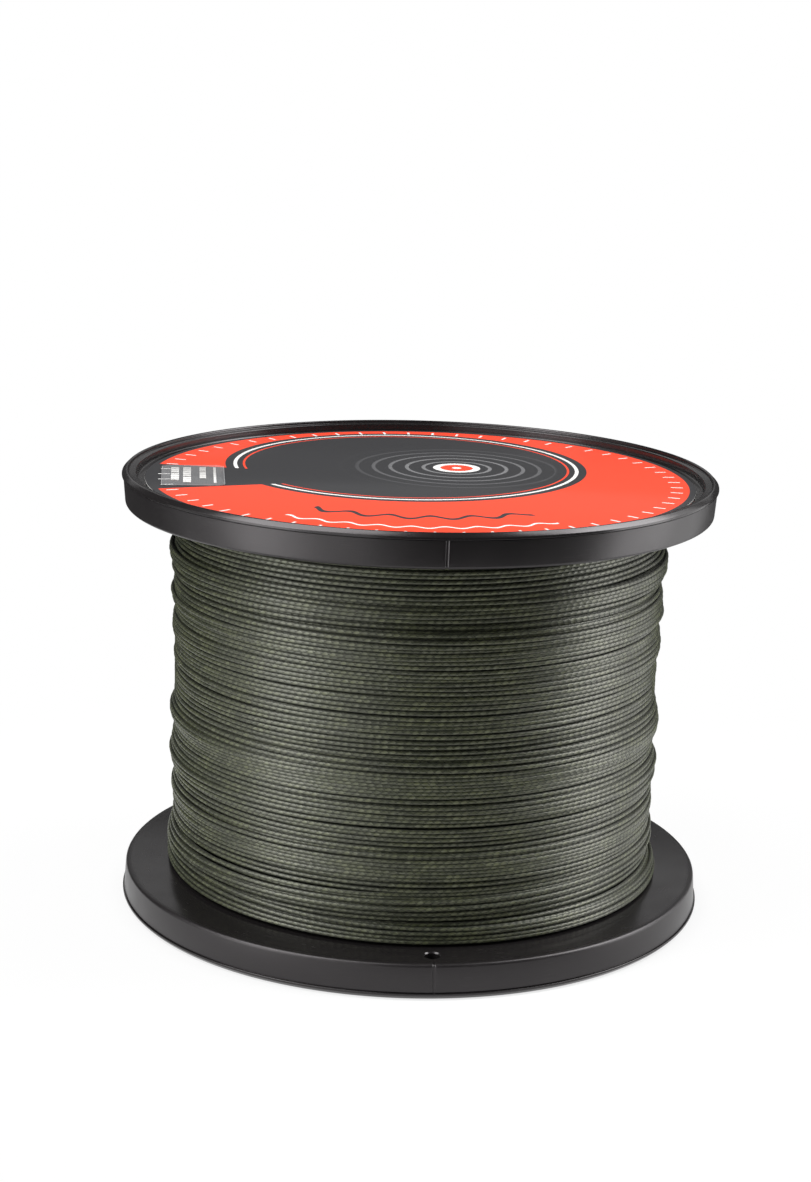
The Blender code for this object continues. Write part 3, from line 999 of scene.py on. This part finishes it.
class SPOOL_OT_line(bpy.types.Operator):
    """Winds the braid: a ribbed core, three full layers and a few turns laid last"""

    bl_idname = "spool.line"
    bl_label = "Wound Line"

    def execute(self, context):
        line = context.scene.spool_line
        rng = np.random.default_rng(LAY_SEED)
        material = braid_material(line)
        low = CORE_LOW.z + line.strand_width / 2
        high = CORE_HIGH.z - line.strand_width / 2
        turns = int((high - low) / line.pitch) + 1
        heights = lay_heights(rng, line, low, high, turns)
        start = TURNS_HIGH.x - line.strand_thickness / 2 - 1.2 * line.bed
        radii = start + ridges(rng, line, heights, low)
        piece, picks = strand("line_third_layer", heights, radii, line)
        dress(piece, material, "braided_line", "line_core")
        for name, node in (
            ("line_second_layer", "line_core"),
            ("line_top_layer", "line_outer_turns"),
            ("line_last_turns", "line_outer_turns"),
        ):
            if name == "line_last_turns":
                laid = last_heights(rng, line, low)
            else:
                laid = lay_heights(rng, line, low, high, turns)
            if name == "line_second_layer":  # laid on the way down
                laid = low + high - laid
            radii = bed_down(laid, line, heights, radii)
            heights = laid
            piece, picks = strand(name, heights, radii, line, picks)
            dress(piece, material, "braided_line", node)
        core = inner_pack(line, start - 0.75 * line.ridge_height - 0.15 * MM)
        dress(core, material, "braided_line", "line_core")
        print(f"line: {turns} turns a layer, {picks * line.pick_length:.1f} m modelled")
        return {"FINISHED"}


# Label, sticker and tape


def label_material(label):
    """Laminated print: a charcoal disc with ripples round a float, on red with waves and a scale."""
    material, wiring, shader = new_material(
        "label_print", Roughness=0.5, Specular_IOR_Level=0.2, Coat_Weight=0.15, Coat_Roughness=0.12
    )
    place = wiring.place()
    axis = wiring.use("around_axis", vector=place)
    radius, turned = axis["Radius"], axis["Turn"]
    soft = 0.05 * MM
    edge = LABEL_HIGH.x

    def away_from(x, y):
        """Distance in the label's plane from a point given in millimetres."""
        moved = {"Vector": place, "Location": (-x * MM, -y * MM, 0)}
        return wiring.use("around_axis", vector=wiring.get("ShaderNodeMapping", moved))["Radius"]

    # A charcoal disc set towards the back, and a tab from it to the rim under the sticker
    past = away_from(-2.0, 9.0) - 25.0 * MM
    sticker_turn = atan2(STICKER_LOW.y + STICKER_HIGH.y, STICKER_LOW.x + STICKER_HIGH.x)
    tab = (turned - sticker_turn).cosine().ease(cos(radians(13.8)), cos(radians(13.6)))
    ink = wiring.mix(past.fall(-soft, soft) | tab, label.red, label.charcoal)
    # Ripples round a float, off the middle
    away = away_from(5.0, 8.0)
    ripples = away.pingpong(1.15 * MM).fall(0.22 * MM, 0.3 * MM) * away.fall(5.0 * MM, 17.0 * MM)
    inks = [
        (ripples * past.fall(-4.4 * MM, -4.0 * MM), label.ripple),
        (past.band(-1.6 * MM, -1.15 * MM, soft) * (1.0 - tab), label.white),
        (past.band(-2.7 * MM, -2.45 * MM, soft) * (1.0 - tab), label.red),
        (away.fall(3.2 * MM, 3.3 * MM), label.white),
        (away.fall(2.2 * MM, 2.3 * MM), label.red),
        (away.fall(0.6 * MM, 0.7 * MM), label.white),
    ]
    # Two wavy lines across the front
    ahead = turned.sine().fall(-cos(radians(32.5)), -cos(radians(33.0)))
    for middle, swell, waves_round, half, colour in (
        (25.4, 0.9, 30.0, 0.5, label.charcoal),
        (31.2, 0.5, 48.0, 0.22, label.white),
    ):
        line = (turned * waves_round).sine() * (swell * MM) + middle * MM
        inks.append((abs(radius - line).fall(half * MM, half * MM + soft) * ahead, colour))
    # Scale of short and long strokes near the rim
    near_mark = abs((turned / radians(6.0)).fraction() - 0.5)
    near_ten = abs((turned / radians(30.0) + 0.1).fraction() - 0.5)
    inside = near_ten.fall(0.05, 0.06) * (-1.7 * MM) + (edge - 3.3 * MM)
    within = (radius > inside) * (radius < edge - 1.7 * MM)
    # Paper on the edge and underneath
    up = wiring.split(wiring.get("ShaderNodeNewGeometry", output="Normal"))[2]
    inks += [
        (near_mark.fall(0.04, 0.055) * within, label.white),
        (radius.ease(edge - 0.9 * MM, edge - 0.8 * MM), label.charcoal),
        (up.fall(0.2, 0.5), label.white),
    ]
    for mask, colour in inks:
        ink = wiring.mix(mask, ink, colour)
    grain = wiring.use("fine_grain", vector=place, cloud_scale=90.0, grain_scale=9000.0)
    tint = grain["Grain"].ease(0.3, 0.7, 0.94, 1.0)
    ink = wiring.mix(1.0, ink, wiring.vector(tint, tint, tint), "MULTIPLY")
    wiring.into(shader, base_color=ink, normal=wiring.bump(grain["Cloud"], 0.3, 0.06 * MM))
    return material


class SPOOL_OT_label(bpy.types.Operator):
    """Models the laminated disc in the recess of the upper flange"""

    bl_idname = "spool.label"
    bl_label = "Top Label"

    def execute(self, context):
        label = context.scene.spool_label
        disc = ring("label_disc", label.segments, LABEL_HIGH.x, LABEL_HIGH.z)
        extrude(LABEL_LOW.z - LABEL_HIGH.z)
        close(disc)
        bevel(disc, label.edge_round, 3)
        smooth(disc)
        dress(disc, label_material(label), "label_print", "top_label")
        return {"FINISHED"}


def sticker_material(label, centre, turned):
    """Clear film with plain white bars, each broken at even distances, and a painted highlight along
    its rim.
    """
    material, wiring, shader = new_material("clear_film", Roughness=0.12, IOR=1.48)
    local = {"Vector": wiring.place(), "Location": centre, "Rotation": (0, 0, turned)}
    across, along, _ = wiring.split(wiring.get("ShaderNodeMapping", local, vector_type="TEXTURE"))
    soft = 0.05 * MM
    white = None
    for middle, height, start, end in (
        (2.4, 1.0, -5.2, -1.5),
        (2.4, 1.0, -0.9, 3.4),
        (0.8, 1.0, -5.2, 0.9),
        (0.8, 1.0, 1.6, 4.9),
        (-1.3, 0.8, -5.2, -2.6),
        (-1.3, 0.8, -2.0, 2.2),
        (-2.9, 0.3, -5.2, 5.2),
    ):
        low, high = (middle - height / 2) * MM, (middle + height / 2) * MM
        bar = across.band(low, high, soft) * along.band(start * MM, end * MM, soft)
        white = white | bar if white else bar
    white *= along.pingpong(0.7 * MM).ease(0.08 * MM, 0.16 * MM, 0.25, 1.0)
    # Painted highlight: the film is grey and more opaque in a thin band along its rim, standing in for
    # the glint of its cut edge.
    painted_rim_highlights = []
    for off, length in ((across, label.sticker_width), (along, label.sticker_length)):
        painted_rim_highlights.append(abs(off).ease(0.5 * length - 0.25 * MM, 0.5 * length))
    veil = white.ease(0.0, 1.0, label.film, 0.97) | (painted_rim_highlights[0] | painted_rim_highlights[1]) * 0.4
    ink = wiring.mix(white, (0.55, 0.55, 0.56), label.white)
    wiring.into(shader, alpha=veil, base_color=ink)
    return material


class SPOOL_OT_sticker(bpy.types.Operator):
    """Models the small clear sticker on the label"""

    bl_idname = "spool.sticker"
    bl_label = "Clear Sticker"

    def execute(self, context):
        label = context.scene.spool_label
        centre = (STICKER_LOW + STICKER_HIGH) / 2
        turned = atan2(centre.y, centre.x)
        thickness = STICKER_HIGH.z - STICKER_LOW.z
        deselect()
        bpy.ops.mesh.primitive_plane_add(size=1, location=centre, rotation=(0, 0, turned))
        film = bpy.context.object
        film.name = "clear_sticker"
        film.scale = (label.sticker_width, label.sticker_length, 1)
        film.location.z = STICKER_LOW.z
        bpy.ops.object.transform_apply(location=False, rotation=False, scale=True)
        edit(film)
        bpy.ops.mesh.bevel(offset=label.sticker_round, segments=8, affect="VERTICES")
        bpy.ops.mesh.select_all(action="SELECT")
        extrude(thickness)
        close(film)
        bevel(film, thickness * 0.3, 2)
        smooth(film)
        material = sticker_material(label, centre, turned)
        dress(film, material, "clear_film", "strength_sticker")
        return {"FINISHED"}


class SPOOL_OT_tape(bpy.types.Operator):
    """Finishes the tape that holds the line's first turn on the barrel"""

    bl_idname = "spool.tape"
    bl_label = "Anchor Tape"

    def execute(self, context):
        material, wiring, shader = new_material("anchor_tape", Roughness=0.75)
        place = wiring.place()
        axis = wiring.use("around_axis", vector=place)
        grain = wiring.use("fine_grain", vector=place, cloud_scale=400.0, grain_scale=5000.0)
        crepe = wiring.noise(wiring.vector(axis["Turn"] * 40.0, 0.0, axis["Height"] * 120.0), 1.0)
        shade = wiring.mix(grain["Cloud"], (0.5, 0.44, 0.3), (0.66, 0.6, 0.45))
        wiring.into(shader, base_color=shade, normal=wiring.bump(crepe, 0.5, 0.05 * MM))
        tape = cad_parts["anchor_tape"]
        tape.data.materials.clear()
        tape.data.materials.append(material)
        return {"FINISHED"}


# Stage


def lamp(name, place, target, size, radiance):
    """A rectangular panel that shines evenly; radiance 1 looks white."""
    light = bpy.data.lights.new(name, "AREA")
    light.shape = "RECTANGLE"
    light.size, light.size_y = size
    light.energy = radiance * pi * size[0] * size[1]
    holder = put(name, light)
    holder.location = place
    aim = Vector(target) - Vector(place)
    holder.rotation_euler = aim.to_track_quat("-Z", "Y").to_euler()


def softbox(name, turned, size, height, radiance):
    """A panel beside the spool, turned from -Y towards +X by so many degrees."""
    away = 0.6
    place = (away * sin(radians(turned)), -away * cos(radians(turned)), height)
    lamp(name, place, (0, 0, height), size, radiance)


class SPOOL_OT_stage(bpy.types.Operator):
    """Sets the pale floor, the soft light and the camera"""

    bl_idname = "spool.stage"
    bl_label = "Stage"

    def execute(self, context):
        stage = context.scene.spool_stage
        context.scene.view_settings.view_transform = "Standard"
        self.floor(stage)
        self.world(stage)
        self.panels()
        self.camera(stage)
        return {"FINISHED"}

    def floor(self, stage):
        """A small round table, which fades into the white backdrop before its edge, with a painted
        contact shadow round the spool's foot.
        """
        floor = ring("floor", 96, stage.table_radius, 0)
        deselect()
        colour = (*stage.floor_colour, 1.0)
        material, wiring, shader = new_material(
            "pale_floor", Roughness=0.9, Specular_IOR_Level=0.0, Base_Color=colour
        )
        away = wiring.use("around_axis", vector=wiring.place())["Radius"]
        rays = wiring.into(wiring.add("ShaderNodeLightPath"))
        white = away.ease(FLANGE_RADIUS, 0.9 * stage.table_radius, stage.whiteness, 1.0)
        # Painted shadow: less glow in a thin ring round the spool's foot, so the ring is darker whether
        # or not it is shaded; the lit table's own shadow shows through it as well.
        painted_contact_shadow = away.ease(FLANGE_RADIUS - 2 * MM, FLANGE_RADIUS + 3 * MM, 0.7, 1.0)
        seen = rays["Is Camera Ray"] | rays["Is Glossy Ray"] | rays["Is Transmission Ray"]
        glow = wiring.get("ShaderNodeEmission", {"Strength": stage.backdrop})
        ends = {0: seen * (white * painted_contact_shadow), 1: Value(wiring, shader.outputs[0]), 2: glow}
        output = material.node_tree.nodes["Material Output"]
        wiring.into(output, surface=wiring.get("ShaderNodeMixShader", ends))
        floor.data.materials.append(material)

    def world(self, stage):
        world = bpy.data.worlds.new("studio")
        bpy.context.scene.world = world
        world.use_nodes = True
        wiring = Wiring(world.node_tree)
        seen = wiring.get("ShaderNodeLightPath", output="Is Camera Ray")
        strength = seen.ease(0.0, 1.0, stage.daylight, stage.backdrop)
        wiring.into(world.node_tree.nodes["Background"], color=(1, 1, 1, 1), strength=strength)

    def panels(self):
        """Tall soft panels on both sides, seen past the table's edge, a low one and two above."""
        for side, turned, radiance in (
            ("left", -60, 3.9),
            ("left_front", -30, 1.3),
            ("left_rear", -90, 0.5),
            ("right", 90, 4.1),
            ("right_rear", 120, 1.3),
        ):
            softbox(f"{side}_panel", turned, (0.314, 1.3), 0.25, radiance)
        softbox("rear_panel", 180, (0.9, 0.16), 0.28, 0.5)
        lamp("top_left_panel", (-0.28, -0.06, 0.56), (0, 0, 0.05), (0.32, 0.46), 6.2)
        lamp("top_right_panel", (0.4, 0.1, 0.52), (0, 0, 0.05), (0.32, 0.5), 6.2)

    def camera(self, stage):
        data = bpy.data.cameras.new("camera")
        data.lens = stage.lens
        data.sensor_width = 36.0
        camera = put("camera", data)
        camera.location = stage.camera_place
        look = Vector((0, cos(stage.camera_drop), -sin(stage.camera_drop)))
        roll = Quaternion((0, 0, 1), stage.camera_roll)
        camera.rotation_mode = "QUATERNION"
        camera.rotation_quaternion = look.to_track_quat("-Z", "Y") @ roll
        bpy.context.scene.camera = camera


class SPOOL_PT_sidebar(bpy.types.Panel):
    """Lists the spool's pieces in their order of making"""

    bl_idname = "SPOOL_PT_sidebar"
    bl_label = "Fishing Line Spool"
    bl_space_type = "VIEW_3D"
    bl_region_type = "UI"
    bl_category = "Spool"

    def draw(self, context):
        for operator in OPERATORS:
            self.layout.operator(operator.bl_idname)


SETTINGS = {
    "spool_moulding": SPOOL_PG_moulding,
    "spool_cuts": SPOOL_PG_cuts,
    "spool_line": SPOOL_PG_line,
    "spool_label": SPOOL_PG_label,
    "spool_stage": SPOOL_PG_stage,
}
OPERATORS = (
    SPOOL_OT_halves,
    SPOOL_OT_line,
    SPOOL_OT_label,
    SPOOL_OT_sticker,
    SPOOL_OT_tape,
    SPOOL_OT_stage,
)


def register():
    for name, group in SETTINGS.items():
        bpy.utils.register_class(group)
        setattr(bpy.types.Scene, name, bpy.props.PointerProperty(type=group))
    for operator in OPERATORS:
        bpy.utils.register_class(operator)
    bpy.utils.register_class(SPOOL_PT_sidebar)


def unregister():
    bpy.utils.unregister_class(SPOOL_PT_sidebar)
    for operator in reversed(OPERATORS):
        bpy.utils.unregister_class(operator)
    for name, group in SETTINGS.items():
        delattr(bpy.types.Scene, name)
        bpy.utils.unregister_class(group)


def main():
    register()
    for make_group in (around_axis_group, fine_grain_group, handling_group, braid_group):
        make_group()
    bpy.ops.spool.halves()
    bpy.ops.spool.line()
    bpy.ops.spool.label()
    bpy.ops.spool.sticker()
    bpy.ops.spool.tape()
    bpy.ops.spool.stage()


if __name__ == "__main__":
    main()
